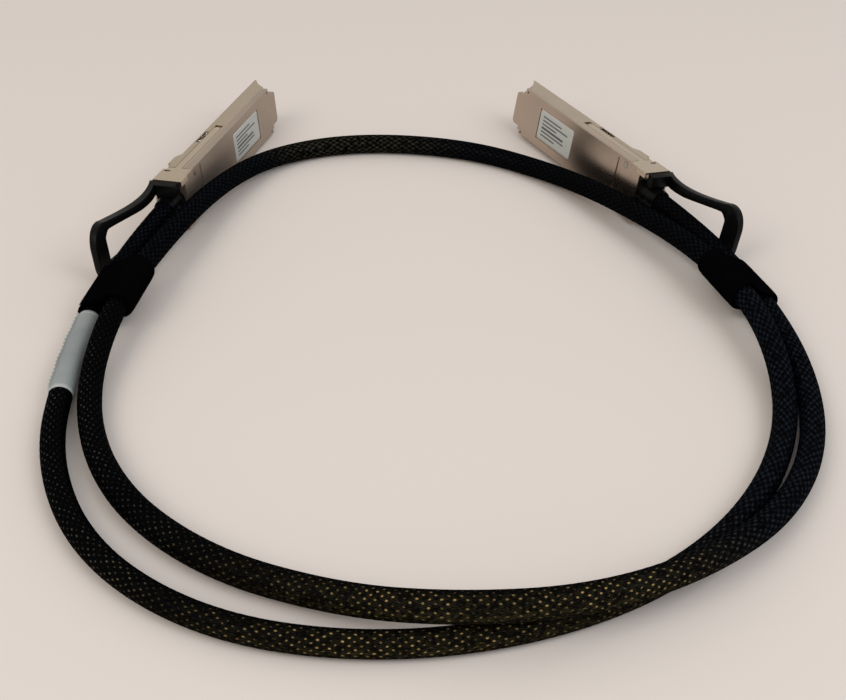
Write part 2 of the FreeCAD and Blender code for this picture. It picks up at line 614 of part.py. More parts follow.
def rounded_route(points):
    """Straight runs joined by tangent arcs, each as large as its two runs allow."""
    edges = []
    radii = []
    last = points[0]
    for before, corner, after in zip(points, points[1:], points[2:]):
        back = (before - corner).normalize()
        ahead = (after - corner).normalize()
        reach = 0.45 * min((before - corner).Length, (after - corner).Length)
        turn = math.pi - back.getAngle(ahead)
        radius = reach / math.tan(turn / 2)
        radii.append(radius)
        start = corner + back * reach
        end = corner + ahead * reach
        toward = (back + ahead).normalize()
        apex = corner + toward * (radius / math.cos(turn / 2) - radius)
        edges.append(Part.LineSegment(last, start).toShape())
        edges.append(Part.Arc(start, apex, end).toShape())
        last = end
    edges.append(Part.LineSegment(last, points[-1]).toShape())
    return Part.Wire(edges), radii


def tube(path, radius):
    """A round solid along a path."""
    start = path.Edges[0].Vertexes[0].Point
    ring = Part.makeCircle(radius, start, path.Edges[0].tangentAt(path.Edges[0].FirstParameter))
    return path.makePipeShell([Part.Wire([ring])], True, False)


def strand_points(path, y, x_sign):
    """Centres and directions of the strands that cross the line y on one side, lowest first."""
    steps = 24
    found = []
    for edge in path.Edges:
        first, last = edge.FirstParameter, edge.LastParameter
        values = [first + (last - first) * i / steps for i in range(steps + 1)]
        for a, b in zip(values, values[1:]):
            p, q = edge.valueAt(a), edge.valueAt(b)
            if (p.y - y) * (q.y - y) < 0 and p.x * x_sign > 0:
                direction = (q - p).normalize()
                if direction.y > 0:
                    direction = direction * -1
                found.append((p + (q - p) * ((y - p.y) / (q.y - p.y)), direction))
    return sorted(found, key=lambda item: item[0].z)


def tie_band(path, bore, place):
    """Hook-and-loop band round the two strands that lie on each other beside one plug."""
    y, x_sign = place
    (low, low_along), (high, high_along) = strand_points(path, y, x_sign)
    along = (low_along + high_along).normalize()
    side = high - low
    side = side - along * side.dot(along)
    outward = Vector(side).normalize()
    radius = CABLE_RADIUS + TIE_FIT + TIE_WALL
    across = along.cross(outward).normalize() * radius
    first = low - along * (TIE_WIDTH / 2)
    second = first + side
    outline = Part.Wire([
        Part.LineSegment(first + across, second + across).toShape(),
        Part.Arc(second + across, second + outward * radius, second - across).toShape(),
        Part.LineSegment(second - across, first - across).toShape(),
        Part.Arc(first - across, first - outward * radius, first + across).toShape()])
    return Part.Face(outline).extrude(along * TIE_WIDTH).cut(bore)


def wrap_label(path):
    """Thin wrapped marker round the outer strand, just below the left tie."""
    inner = CABLE_RADIUS + WRAP_FIT
    y = LEFT_TIE[0] - TIE_WIDTH / 2 - WRAP_GAP
    x = strand_points(path, y - WRAP_LENGTH / 2, LEFT_TIE[1])[0][0].x
    reach = inner + WRAP_WALL + WRAP_MARGIN
    around = box(x - 4 * reach, x + reach, y - WRAP_LENGTH, y, -OVER, PLUG_WIDTH)
    return tube(path, inner + WRAP_WALL).common(around).cut(tube(path, inner))


def main():
    """Build every piece, place both plugs, lay the cable and write one file per node."""
    os.makedirs("parts", exist_ok=True)
    nodes = {}
    ends = []
    for name, place, lift_side, bend in (("left", LEFT_PLACE, 1, LEFT_BEND),
                                         ("right", RIGHT_PLACE, -1, RIGHT_BEND)):
        pieces = plug_pieces(lift_side, bend)
        placement = plug_placement(place, pieces)
        for piece, shape in pieces.items():
            shape.Placement = placement
            nodes[name + "_" + piece] = shape
        ends.append(cable_ends(placement))
    points = ends[0] + [Vector(*point) for point in ROUTE] + ends[1][::-1]
    path, radii = rounded_route(points)
    cable = tube(path, CABLE_RADIUS)
    nodes["braided_cable"] = cable
    bore = tube(path, CABLE_RADIUS + TIE_FIT)
    nodes["left_tie"] = tie_band(path, bore, LEFT_TIE)
    nodes["right_tie"] = tie_band(path, bore, RIGHT_TIE)
    nodes["wrap_label"] = wrap_label(path)
    for name, shape in nodes.items():
        shape.exportStep("parts/" + name + ".step")
    expected = math.pi * CABLE_RADIUS ** 2 * path.Length
    print("cable length %.1f, volume %.0f of %.0f" % (path.Length, cable.Volume, expected))
    print("radii", " ".join("%.0f" % radius for radius in radii))
    print("ends", [tuple(round(v, 2) for v in p) for p in ends[0] + ends[1]])


main()
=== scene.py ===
"""Looks of the direct attach copper cable: braid, ties, marker, labels, tabs and finishes."""
import bmesh
import bpy
import json
import math
import numpy as np
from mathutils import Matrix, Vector


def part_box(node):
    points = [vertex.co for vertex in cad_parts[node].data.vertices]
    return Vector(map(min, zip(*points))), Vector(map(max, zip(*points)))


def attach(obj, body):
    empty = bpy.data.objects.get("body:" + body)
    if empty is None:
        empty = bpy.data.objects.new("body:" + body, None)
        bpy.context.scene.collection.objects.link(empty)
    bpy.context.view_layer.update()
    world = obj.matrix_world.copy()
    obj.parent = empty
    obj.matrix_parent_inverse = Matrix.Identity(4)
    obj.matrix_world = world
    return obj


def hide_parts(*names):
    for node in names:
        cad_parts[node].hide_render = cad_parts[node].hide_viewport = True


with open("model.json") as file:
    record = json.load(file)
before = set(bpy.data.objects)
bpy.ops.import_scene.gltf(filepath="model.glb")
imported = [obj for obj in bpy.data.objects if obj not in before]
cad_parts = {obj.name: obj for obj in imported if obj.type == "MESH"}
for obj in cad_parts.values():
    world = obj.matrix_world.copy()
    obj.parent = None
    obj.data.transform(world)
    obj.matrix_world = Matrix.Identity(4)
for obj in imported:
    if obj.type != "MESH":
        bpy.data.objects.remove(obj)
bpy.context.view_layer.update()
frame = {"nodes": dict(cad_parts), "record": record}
MM = 0.001

# ---------------------------------------------------------------- sizes, in metres
CABLE_DIAMETER = 6.8 * MM
CARRIERS = 24                # strands of one hand round the braid
BRAID_PITCH = 2.8 * MM       # one strand's width along the cable
BRAID_RELIEF = 0.10 * MM     # height of the weave
BRAID_MEAN = 0.75            # the weave's height that lies at the cable's radius
FILAMENTS = 2                # in one flat strand
RING_STEP = BRAID_PITCH / 3  # between the rings of the sleeve's mesh
AROUND = 72                  # points on a ring
SWELL = 0.55 * MM            # extra radius where the sleeve bunches up
SWELL_PLACE = (-0.030, -0.192)
SWELL_REACH = 75 * MM

TIE_WIDTH = 20 * MM
TIE_TAPE = 0.80 * MM         # thickness
TIE_START = 0.56             # where the winding begins and ends, in turns
TIE_END = 2.02
TIE_LAP = 0.88               # turns after which the tape climbs on its own first layer
TIE_CLIMB = 0.1              # turns that the climb takes
TIE_FIT = 0.12 * MM
TIE_SAG = 0.35 * MM          # of the tape between the two strands
TIE_RIPPLE = 0.25 * MM       # of the tape's edges

WRAP_FIT = 0.1 * MM
MARKER_FILM = 0.12 * MM
MARKER_TAIL = 2.8 * MM       # loose film past the bonded length
MARKER_INNER_X = -0.0893     # the marker's strand lies further out than this
FIN_REACH = 0.8 * MM
FIN_DIRECTION = (0.92, 0.38)
FIN_OPENING = 0.06 * MM      # between the fin's two layers

LABEL_START = 12.4 * MM      # from the nose end of the label face
LABEL_LENGTH = 21.2 * MM
LABEL_WIDTH = 11.3 * MM
LABEL_CORNER = 0.6 * MM
LABEL_PAPER = 0.1 * MM
FACE_BACK = 5.7 * MM         # from the nose mount back to the label face's front edge
FACE_DEPTH = 4.25 * MM       # from the nose mount to the label face

TAB_EDGE = 0.55 * MM
FLOOR_HALF = 1.6
WORLD_COLOR = (1.0, 0.965, 0.91)
WORLD_LEVEL = 0.69
LAMP_SIZE = 0.8
LAMP_AIM = (0, -0.08, 0)
LAMPS = [                    # name, place, power in watts, colour
    ("warm", (-0.70, -0.70, 0.95), 4.6, (1.0, 0.93, 0.82)),
    ("cool", (0.75, -0.60, 0.95), 4.8, (0.92, 0.96, 1.0)),
]
CAMERA_PLACE = (0.00081, -0.40343, 0.233214)
CAMERA_DOWN = 36.758         # degrees below level
CAMERA_LENS = 55.07          # millimetres, on a sensor 36 mm wide

# The cable's route: the points of its solid, from the left plug to the right one.
ROUTE = [
    (-0.08042, -0.00636, 0.00946), (-0.09016, -0.03684, 0.00946),
    (-0.0997, -0.0694, 0.0049), (-0.1027, -0.1064, 0.0039), (-0.0997, -0.1444, 0.0036),
    (-0.0822, -0.1794, 0.0036), (-0.0502, -0.2024, 0.0036), (-0.0112, -0.2094, 0.0036),
    (0.0283, -0.2036, 0.0036), (0.0631, -0.1866, 0.0036), (0.0890, -0.1592, 0.0036),
    (0.1038, -0.1239, 0.0036), (0.1026, -0.0864, 0.0104), (0.0893, -0.0514, 0.0109),
    (0.0688, -0.0194, 0.0092), (0.0473, 0.0121, 0.0036), (0.0163, 0.0306, 0.0036),
    (-0.0242, 0.0356, 0.0036), (-0.0552, 0.0241, 0.0038), (-0.0712, -0.0069, 0.0088),
    (-0.0832, -0.0459, 0.0113), (-0.0932, -0.0844, 0.0104), (-0.0947, -0.1214, 0.0036),
    (-0.0802, -0.1574, 0.0036), (-0.0532, -0.1824, 0.0036), (-0.0192, -0.1959, 0.0045),
    (0.0098, -0.2052, 0.0118), (0.0388, -0.2024, 0.0118), (0.0668, -0.1901, 0.0105),
    (0.0928, -0.1666, 0.0058), (0.1083, -0.1359, 0.0036), (0.1116, -0.0994, 0.0036),
    (0.1043, -0.0624, 0.0049),
    (0.08749, -0.03069, 0.00986), (0.07194, -0.00272, 0.00986),
]


# ---------------------------------------------------------------- shader maths
class Field:
    """A value in a material's node tree that Python's operators work on."""

    def __init__(self, tree, socket):
        self.tree = tree
        self.socket = socket

    def _math(self, operation, *others):
        node = self.tree.nodes.new("ShaderNodeMath")
        node.operation = operation
        for slot, value in zip(node.inputs, (self, *others)):
            plug_in(self.tree, slot, value)
        return Field(self.tree, node.outputs[0])

    def __add__(self, other):
        return self._math("ADD", other)

    __radd__ = __add__

    def __sub__(self, other):
        return self._math("SUBTRACT", other)

    def __rsub__(self, other):
        return (self * -1) + other

    def __mul__(self, other):
        return self._math("MULTIPLY", other)

    __rmul__ = __mul__

    def __truediv__(self, other):
        return self._math("DIVIDE", other)

    def __gt__(self, other):
        return self._math("GREATER_THAN", other)

    def fract(self):
        return self._math("FRACT")

    def cos(self):
        return self._math("COSINE")

    def floor(self):
        return self._math("FLOOR")

    def max(self, other):
        return self._math("MAXIMUM", other)

    def min(self, other):
        return self._math("MINIMUM", other)

    def ramp(self, low, high):
        """0 below low, 1 above high, smooth between."""
        node = self.tree.nodes.new("ShaderNodeMapRange")
        node.interpolation_type = "SMOOTHSTEP"
        for name, value in (("Value", self), ("From Min", low), ("From Max", high)):
            plug_in(self.tree, node.inputs[name], value)
        return Field(self.tree, node.outputs[0])


def plug_in(tree, slot, value):
    """Links a field to a socket, or writes a constant on it."""
    if isinstance(value, Field):
        tree.links.new(value.socket, slot)
    elif isinstance(value, (tuple, list)) and len(value) == 3 and slot.type == "RGBA":
        slot.default_value = (*value, 1.0)
    else:
        slot.default_value = value


class Finish:
    """A material whose shader sockets take fields or constants."""

    def __init__(self, name):
        self.material = bpy.data.materials.new(name)
        self.material.use_nodes = True
        self.tree = self.material.node_tree
        self.shader = self.tree.nodes["Principled BSDF"]

    def node(self, kind, settings=None, output=0, **values):
        """Any node: its type, its settings, then the values or links of its sockets, which are
        given by name, or as i and their number."""
        made = self.tree.nodes.new(kind)
        for key, value in (settings or {}).items():
            setattr(made, key, value)
        for key, value in values.items():
            numbered = key[0] == "i" and key[1:].isdigit()
            socket = int(key[1:]) if numbered else key.replace("_", " ")
            plug_in(self.tree, made.inputs[socket], value)
        return Field(self.tree, made.outputs[output])

    def set(self, **values):
        for key, value in values.items():
            plug_in(self.tree, self.shader.inputs[key.replace("_", " ")], value)
        return self

    def split(self, vector):
        made = self.tree.nodes.new("ShaderNodeSeparateXYZ")
        self.tree.links.new(vector.socket, made.inputs[0])
        return [Field(self.tree, out) for out in made.outputs]

    def place(self):
        return self.node("ShaderNodeTexCoord", output="Object")

    def uv(self):
        return self.node("ShaderNodeTexCoord", output="UV")

    def noise(self, vector, scale, detail=2.0, rough=0.5):
        return self.node("ShaderNodeTexNoise", Vector=vector, Scale=scale, Detail=detail,
                         Roughness=rough)

    def mix(self, factor, first, second):
        return self.node("ShaderNodeMix", {"data_type": "RGBA"}, output=2,
                         i0=factor, i6=first, i7=second)

    def bump(self, height, distance, strength=1.0):
        return self.node("ShaderNodeBump", Height=height, Distance=distance, Strength=strength)


def give(objects, finish):
    """Puts one material on each of the objects."""
    for piece in objects:
        piece.data.materials.clear()
        piece.data.materials.append(finish.material)


# ---------------------------------------------------------------- finishes
def braid_fields(uv_split, fract, cos, largest):
    """The 2-over-2 braid in its own coordinates: strands of one hand lie along a, those of the
    other along b. Gives the places across the two strands, their heights and the higher one. A
    strand's height is 0.6 times a parabola across it, plus or minus half a cosine along it."""
    around, along = uv_split
    a = around * CARRIERS + along / BRAID_PITCH
    b = around * CARRIERS - along / BRAID_PITCH
    across_a, across_b = fract(b), fract(a)
    lift = cos((a + b - 1.5) * (math.pi / 2))
    crown_a = 1 - (2 * across_a - 1) * (2 * across_a - 1)
    crown_b = 1 - (2 * across_b - 1) * (2 * across_b - 1)
    high_a = crown_a * 0.6 + lift * 0.5
    high_b = crown_b * 0.6 - lift * 0.5
    return across_a, across_b, high_a, high_b, largest(high_a, high_b)


def painted_light_zones(x, depth):
    """Soft zones of the coil, by place, for painted light: the near strands, the crest at the
    far side, the left, the right and the far strands. They set where the crowns carry painted
    glints and the strands a painted sheen and painted tints of reflected light."""
    near = (1 - depth.ramp(-0.205, -0.155)) * (1 - x.ramp(0.055, 0.095))
    near = near * (1 - (x * -1).ramp(0.0, 0.075) * 0.8)
    crest = depth.ramp(0.012, 0.028) * (1 - x.ramp(-0.015, 0.02))
    left = (x * -1).ramp(0.045, 0.085) * (1 - depth.ramp(-0.12, -0.05))
    right = x.ramp(0.035, 0.095) * (1 - depth.ramp(-0.085, -0.03))
    far = depth.ramp(-0.09, -0.03) * (1 - crest) * (1 - x.ramp(-0.02, 0.05) * 0.6)
    return near, crest, left, right, far


def braid_finish():
    """Black monofilament braid. The crown of each float is a small oval, the places where
    cos(2 pi p) cos(2 pi q) nears 1, with p across the floats and q along the cable; some crowns
    carry a painted glint, a painted highlight strongest on the upper outer side of the tube, the
    strands between them are dark and the gaps darker. The strands carry a painted sheen near the
    front and painted tints of reflected light elsewhere, by place in the coil."""
    f = Finish("braided_sleeve")
    turn = 2 * math.pi
    around, along, _ = f.split(f.uv())
    across_a, across_b, high_a, high_b, top = braid_fields(
        (around, along), Field.fract, Field.cos, Field.max)
    over = high_a > high_b
    ridge_a = (across_a * (turn * FILAMENTS)).cos() * -0.5 + 0.5
    ridge_b = (across_b * (turn * FILAMENTS)).cos() * -0.5 + 0.5
    ridge = ridge_a * over + ridge_b * (1 - over)
    lane = ((around * (2 * CARRIERS) - 1.5) * (math.pi / 2)).cos()
    beat = ((along * (1 / BRAID_PITCH) - 0.25) * turn).cos()
    crown = lane * beat
    oval = crown.ramp(0.50, 0.95)
    gap = 1 - top.ramp(0.15, 0.55)
    place = f.place()
    cloud = f.noise(place, 800.0, 1.0)
    broad = f.noise(place, 40.0, 2.0)
    x, depth, _ = f.split(place)
    near, crest, left, right, far = painted_light_zones(x, depth)
    # Masks by the tube's own angle, where it faces up and out and where it faces down and out: they
    # place the painted glints and painted sheen where light would fall.
    lit_upper_side = ((around - 0.135) * turn).cos().ramp(0.30, 0.92)
    lit_under_side = ((around + 0.05) * turn).cos().ramp(0.60, 0.98)
    net = crown.ramp(-0.6, 0.7) * cloud.ramp(0.32, 0.62)
    # Painted glint: painted highlights on some crowns, mostly on the upper outer side.
    painted_glint = oval * cloud.ramp(0.38, 0.66) * (broad.ramp(0.35, 0.6) * 0.6 + 0.4)
    painted_glint = painted_glint * (lit_upper_side * 0.9 + 0.1)
    strand = f.mix(broad, (0.0008, 0.0009, 0.0014), (0.0022, 0.0023, 0.0026))
    # Painted reflections: bluish tints on the right and far strands and an olive tint along the
    # crest.
    strand = f.mix(right * net, strand, (0.0085, 0.0120, 0.0190))
    strand = f.mix(far * net, strand, (0.0040, 0.0060, 0.0100))
    strand = f.mix(crest * net, strand, (0.0330, 0.0300, 0.0190))
    # Painted sheen: a painted highlight that makes the near strands paler and warmer on their lower
    # and upper sides.
    painted_sheen = (near * (ridge * 0.5 + 0.1) * (cloud.ramp(0.35, 0.65) * 0.8 + 0.2)
             * (lit_under_side + lit_upper_side * 0.7))
    strand = f.mix(painted_sheen, strand, (0.0420, 0.0360, 0.0170))
    color = f.mix(gap, strand, (0.0006, 0.0006, 0.0008))
    # Colours of the painted glints: gold on the near strands, pale at the left, dim blue elsewhere.
    glint = f.mix(left, (0.0060, 0.0085, 0.0120), (0.050, 0.056, 0.055))
    glint = f.mix(near, glint, (0.44, 0.31, 0.12))
    color = f.mix(painted_glint * 0.85, color, glint)
    f.set(Base_Color=color, Roughness=0.6, Specular_IOR_Level=0.0,
          Coat_Weight=oval * 0.10 + ridge * 0.03, Coat_Roughness=0.3,
          Normal=f.bump(top + ridge * 0.25, 0.30 * MM, 1.0))
    return f


def metal_finish(name, color, rough, grain, spread=0.05):
    """Plated metal: fine cast or rolled grain, slow change of gloss, a slightly darker cast."""
    f = Finish(name)
    place = f.place()
    fine = f.noise(place, grain, 3.0)
    slow = f.noise(place, 90.0, 2.0)
    dark = tuple(c * 0.86 for c in color)
    f.set(Base_Color=f.mix(slow, color, dark), Metallic=1.0,
          Roughness=(rough - spread) + slow * (2 * spread) + fine * 0.06,
          Normal=f.bump(fine, 0.03 * MM, 0.02))
    return f


def rubber_finish(name, color, rough, grain, depth, gloss):
    """Moulded or shrunk black polymer with a faint texture."""
    f = Finish(name)
    place = f.place()
    fine = f.noise(place, grain, 3.0)
    slow = f.noise(place, 120.0, 2.0)
    pale = tuple(c * 1.9 + 0.0006 for c in color)
    f.set(Base_Color=f.mix(slow * 0.7, color, pale), Roughness=rough + slow * 0.12 - 0.06,
          Specular_IOR_Level=gloss,
          Normal=f.bump(fine + slow * 0.5, depth, 0.6))
    return f


def tape_finish():
    """Woven hook-and-loop tape: ribs 0.55 mm apart across it and 0.8 mm apart along it, under a
    fuzz of loops. The UV is in metres, along the winding and round the tape's section."""
    f = Finish("loop_tape")
    along, around, _ = f.split(f.uv())
    rib = (around * (2 * math.pi / (0.55 * MM))).cos() * 0.5 + 0.5
    warp = (along * (2 * math.pi / (0.8 * MM))).cos() * 0.5 + 0.5
    fuzz = f.noise(f.place(), 2600.0, 2.0)
    slow = f.noise(f.place(), 150.0, 2.0)
    color = f.mix(fuzz * 0.6 + slow * 0.3, (0.0006, 0.0006, 0.0010), (0.0024, 0.0024, 0.0030))
    f.set(Base_Color=color, Roughness=0.85 + fuzz * 0.1, Specular_IOR_Level=0.0,
          Normal=f.bump(rib * warp * 0.4 + fuzz, 0.12 * MM, 0.7))
    return f


def film_finish():
    """Grey marker film, softly creased, with a welded seam of pale stitches along its fin and
    pale ends."""
    f = Finish("marker_film")
    along, around, _ = f.split(f.uv())
    crease = f.noise(f.place(), 260.0, 3.0)
    slow = f.noise(f.place(), 70.0, 2.0)
    stitches = 21
    stitch = (along * (2 * math.pi * stitches)).cos().ramp(-0.3, 0.5)
    fin = 1 - around.min(1 - around).ramp(0.025, 0.05)
    rim = 1 - along.min(1 - along).ramp(0.02, 0.05)
    color = f.mix(slow, (0.17, 0.185, 0.19), (0.30, 0.33, 0.34))
    color = f.mix(fin * (stitch * 0.8 + 0.2), color, (0.60, 0.59, 0.48))
    color = f.mix(rim * 0.35, color, (0.60, 0.62, 0.60))
    f.set(Base_Color=color, Roughness=0.42 + crease * 0.2, Coat_Weight=0.05,
          Specular_IOR_Level=0.3, Normal=f.bump(crease, 0.25 * MM, 0.7))
    return f


def label_finish():
    """White label stock printed with plain grey bars of uneven length, one of them heavier, and
    a pale rim. A bar's length goes with the cosine of its number."""
    f = Finish("label_print")
    lines = 8
    heavy_line = 3
    across, down, _ = f.split(f.uv())
    row = (down * lines).fract()
    number = (down * lines).floor()
    length = ((number * 2.3 + 0.6).cos() * 0.5 + 0.5) * 0.42 + 0.50
    heavy = (number > heavy_line - 0.5) * (1 - (number > heavy_line + 0.5))
    edge = heavy * 0.10
    bar = row.ramp(0.26 - edge, 0.32 - edge) * (1 - row.ramp(edge + 0.66, edge + 0.72))
    inside = (across > 0.10) * (1 - (across > (length * 0.84 + 0.10)))
    rows = (down > 0.12) * (1 - (down > 0.90))
    wear = f.noise(f.place(), 2600.0, 2.0)
    ink = bar * inside * rows * (wear.ramp(0.25, 0.55) * 0.3 + 0.7)
    paper = f.noise(f.place(), 700.0, 2.0)
    color = f.mix(paper * 0.5, (0.50, 0.51, 0.49), (0.40, 0.41, 0.39))
    color = f.mix(ink, color, (0.075, 0.075, 0.085))
    rim = across.min(1 - across).min(down.min(1 - down))
    color = f.mix((1 - rim.ramp(0.01, 0.05)) * 0.4, color, (0.72, 0.72, 0.70))
    f.set(Base_Color=color, Roughness=0.5, Specular_IOR_Level=0.3,
          Normal=f.bump(paper, 0.01 * MM, 0.4))
    return f


def card_finish():
    """Green solder mask over a faint weave."""
    f = Finish("solder_mask")
    weave = f.noise(f.place(), 1800.0, 2.0)
    f.set(Base_Color=f.mix(weave, (0.01, 0.09, 0.045), (0.02, 0.13, 0.06)),
          Roughness=0.32 + weave * 0.1, Normal=f.bump(weave, 0.02 * MM, 0.3))
    return f


# ---------------------------------------------------------------- mesh helpers
def grid_mesh(name, points, close_u, close_v, uv=None):
    """A mesh from a grid of points, rows along u and columns along v; uv has one more row or
    column than the points where that side is closed."""
    rows, columns = points.shape[:2]
    i = np.arange(rows if close_u else rows - 1)
    j = np.arange(columns if close_v else columns - 1)
    ii, jj = np.meshgrid(i, j, indexing="ij")
    corners = [(ii, jj), (ii + 1, jj), (ii + 1, jj + 1), (ii, jj + 1)]
    index = np.stack([(a % rows) * columns + (b % columns) for a, b in corners], -1)
    faces = index.reshape(-1, 4)
    mesh = bpy.data.meshes.new(name)
    mesh.vertices.add(rows * columns)
    mesh.vertices.foreach_set("co", points.reshape(-1).astype(np.float32))
    mesh.loops.add(faces.size)
    mesh.loops.foreach_set("vertex_index", faces.reshape(-1).astype(np.int32))
    mesh.polygons.add(len(faces))
    mesh.polygons.foreach_set("loop_start", np.arange(0, faces.size, 4, dtype=np.int32))
    mesh.update(calc_edges=True)
    mesh.polygons.foreach_set("use_smooth", np.ones(len(faces), bool))
    if uv is not None:
        layer = mesh.uv_layers.new(name="UVMap")
        values = np.stack([uv[a, b] for a, b in corners], 2).reshape(-1)
        layer.data.foreach_set("uv", values.astype(np.float32))
    mesh.validate()
    piece = bpy.data.objects.new(name, mesh)
    bpy.context.scene.collection.objects.link(piece)
    return piece


def unit(v):
    """Vectors scaled to length 1."""
    return v / np.linalg.norm(v, axis=-1, keepdims=True)


# ---------------------------------------------------------------- camera
def make_camera():
    """A camera in front of the loop, looking down on the plugs across it."""
    data = bpy.data.cameras.new("camera")
    data.sensor_width = 36.0
    data.lens = CAMERA_LENS
    camera = bpy.data.objects.new("camera", data)
    bpy.context.scene.collection.objects.link(camera)
    camera.location = CAMERA_PLACE
    camera.rotation_euler = (math.radians(90 - CAMERA_DOWN), 0, 0)
    data.clip_start = 0.01
    bpy.context.scene.camera = camera


# ---------------------------------------------------------------- cable
def cable_line():
    """The smooth line of the cable: places on the route's spline at even steps, and the distance
    along it at each."""
    data = bpy.data.curves.new("line", "CURVE")
    data.dimensions = "3D"
    data.resolution_u = 48
    spline = data.splines.new("NURBS")
    spline.points.add(len(ROUTE) - 1)
    for point, place in zip(spline.points, ROUTE):
        point.co = (*place, 1.0)
    spline.order_u = 3
    spline.use_endpoint_u = True
    line = bpy.data.objects.new("line", data)
    bpy.context.scene.collection.objects.link(line)
    mesh = bpy.data.meshes.new_from_object(line)
    points = np.empty(len(mesh.vertices) * 3)
    mesh.vertices.foreach_get("co", points)
    points = points.reshape(-1, 3)
    bpy.data.objects.remove(line)
    reach = np.concatenate([[0], np.cumsum(np.linalg.norm(np.diff(points, axis=0), axis=1))])
    steps = np.arange(0, reach[-1], RING_STEP)
    even = np.stack([np.interp(steps, reach, points[:, k]) for k in range(3)], 1)
    return even, steps


def side_frames(points):
    """At each point of a line: the tangent, the level direction across it, which points out of
    the loop, and the third one, which points up."""
    tangent = unit(np.gradient(points, axis=0))
    level = unit(np.cross(tangent, np.array([0.0, 0.0, 1.0])))
    return tangent, level, np.cross(level, tangent)


def swelling(line, steps):
    """How far the sleeve swells at each step: the set height times exp(-(d / reach) ** 4), with d
    measured along the upper of the two near strands from the middle of the swelling."""
    first_half = np.arange(len(line)) <= len(line) // 2
    away = np.hypot(line[:, 0] - SWELL_PLACE[0], line[:, 1] - SWELL_PLACE[1]) + first_half
    middle = steps[np.argmin(away)]
    return SWELL * np.exp(-((steps - middle) / SWELL_REACH) ** 4)


def make_cable(line, steps):
    """The braid is a tube whose radius at angle t and distance s is the cable's, plus the relief
    times the braid's height there and the swelling, which also lifts the tube off the table; the
    two end rings shrink to a point and close it."""
    swell = swelling(line, steps)
    line = line + swell[:, None] * np.array([0.0, 0.0, 1.0])
    _, level, above = side_frames(line)
    share = np.arange(AROUND + 1) / AROUND
    around, along = np.meshgrid(share, steps)
    around, along = around.T, along.T
    top = braid_fields((around, along), lambda x: x % 1, np.cos, np.maximum)[4]
    radius = CABLE_DIAMETER / 2 + BRAID_RELIEF * (top[:-1] - BRAID_MEAN) + swell
    radius[:, [0, -1]] = 0.01 * MM
    angle = 2 * math.pi * around[:-1]
    points = (line[None] + radius[..., None] * (np.cos(angle)[..., None] * level[None]
                                                + np.sin(angle)[..., None] * above[None]))
    uv = np.stack([around, along], -1)
    cable = grid_mesh("cable_braid", points, True, False, uv)
    give([cable], braid_finish())
    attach(cable, "cable_assembly")
    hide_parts("braided_cable")
    return cable


def crossings(line, y, side):
    """Where the line crosses y on the side -1 or 1: places and directions, lowest strand first."""
    before, after = line[:-1], line[1:]
    hit = ((before[:, 1] - y) * (after[:, 1] - y) < 0) & (before[:, 0] * side > 0)
    place = (before[hit] + after[hit]) / 2
    direction = unit(after[hit] - before[hit])
    direction = direction * -np.sign(direction[:, 1:2])
    order = np.argsort(place[:, 2])
    return place[order], direction[order]


# ---------------------------------------------------------------- ties
def winding(base, gap, turns):
    """A closed track round two strands a gap apart: half a circle of the base radius round the
    first, a straight, half a circle round the second and a straight back. Gives, at each turn,
    the track's length, the angle of its outward direction, how far its centre stands from the
    first strand, and where it is on a straight."""
    arc, straight = math.pi * base, gap
    total = 2 * arc + 2 * straight
    s = (turns % 1) * total
    first = s < arc
    second = (s >= arc) & (s < arc + straight)
    third = (s >= arc + straight) & (s < 2 * arc + straight)
    quarter = math.pi / 2
    angle = np.select([first, second, third],
                      [quarter + s / base, 3 * quarter + 0 * s,
                       3 * quarter + (s - arc - straight) / base], 5 * quarter)
    centre = np.select([first, second, third], [0 * s, s - arc, gap + 0 * s],
                       gap - (s - 2 * arc - straight))
    return total, angle, centre, second | (~first & ~third)


def make_tie(name, line, side):
    """A tape wound one and a half turns round two strands: a flat rounded section, a power of
    cosine by a power of sine, carried along the winding. The second layer lies one tape further
    out, the tape sags between the strands as a sine, and its edges ripple as another."""
    low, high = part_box(name)
    place, direction = crossings(line, (low.y + high.y) / 2, side)
    along = unit(direction.sum(0))
    across = place[1] - place[0]
    across = across - along * across.dot(along)
    gap = np.linalg.norm(across)
    u = across / gap
    w = np.cross(along, u)
    base = CABLE_DIAMETER / 2 + TIE_FIT + TIE_TAPE / 2
    turns = np.linspace(TIE_START, TIE_END, 150)
    total, angle, centre, flat = winding(base, gap, turns)
    normal = np.cos(angle)[:, None] * u + np.sin(angle)[:, None] * w
    sag = np.where(flat, np.sin(math.pi * centre / gap) * TIE_SAG, 0)
    climb = np.clip(turns - TIE_START - TIE_LAP, 0, TIE_CLIMB) / TIE_CLIMB * TIE_TAPE
    middle = place[0] + centre[:, None] * u + (base + climb - sag)[:, None] * normal
    corner = np.linspace(0, 2 * math.pi, 36, endpoint=False)
    cos, sin = np.cos(corner), np.sin(corner)
    width = np.sign(cos) * np.abs(cos) ** 0.28 * TIE_WIDTH / 2
    thick = np.sign(sin) * np.abs(sin) ** 0.7 * TIE_TAPE / 2
    ripple = TIE_RIPPLE * np.sin(turns * 19 + side)[:, None] * cos[None]
    taper = np.minimum(1, np.minimum(turns - turns[0], turns[-1] - turns) * 60 + 0.05)
    points = (middle[:, None] + (width[None, :] + ripple)[..., None] * along
              + (thick[None, :] * taper[:, None])[..., None] * normal[:, None])
    points = np.concatenate([middle[None, :1] + 0 * points[:1], points,
                             middle[None, -1:] + 0 * points[-1:]])
    distance = np.concatenate([[0], turns * total, [turns[-1] * total]])
    section = np.linspace(0, 2 * (TIE_WIDTH + TIE_TAPE), len(corner) + 1)
    uv = np.stack(np.meshgrid(distance, section, indexing="ij"), -1)
    tie = grid_mesh(name + "_tape", points, False, True, uv)
    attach(tie, "cable_assembly")
    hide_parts(name)
    return tie


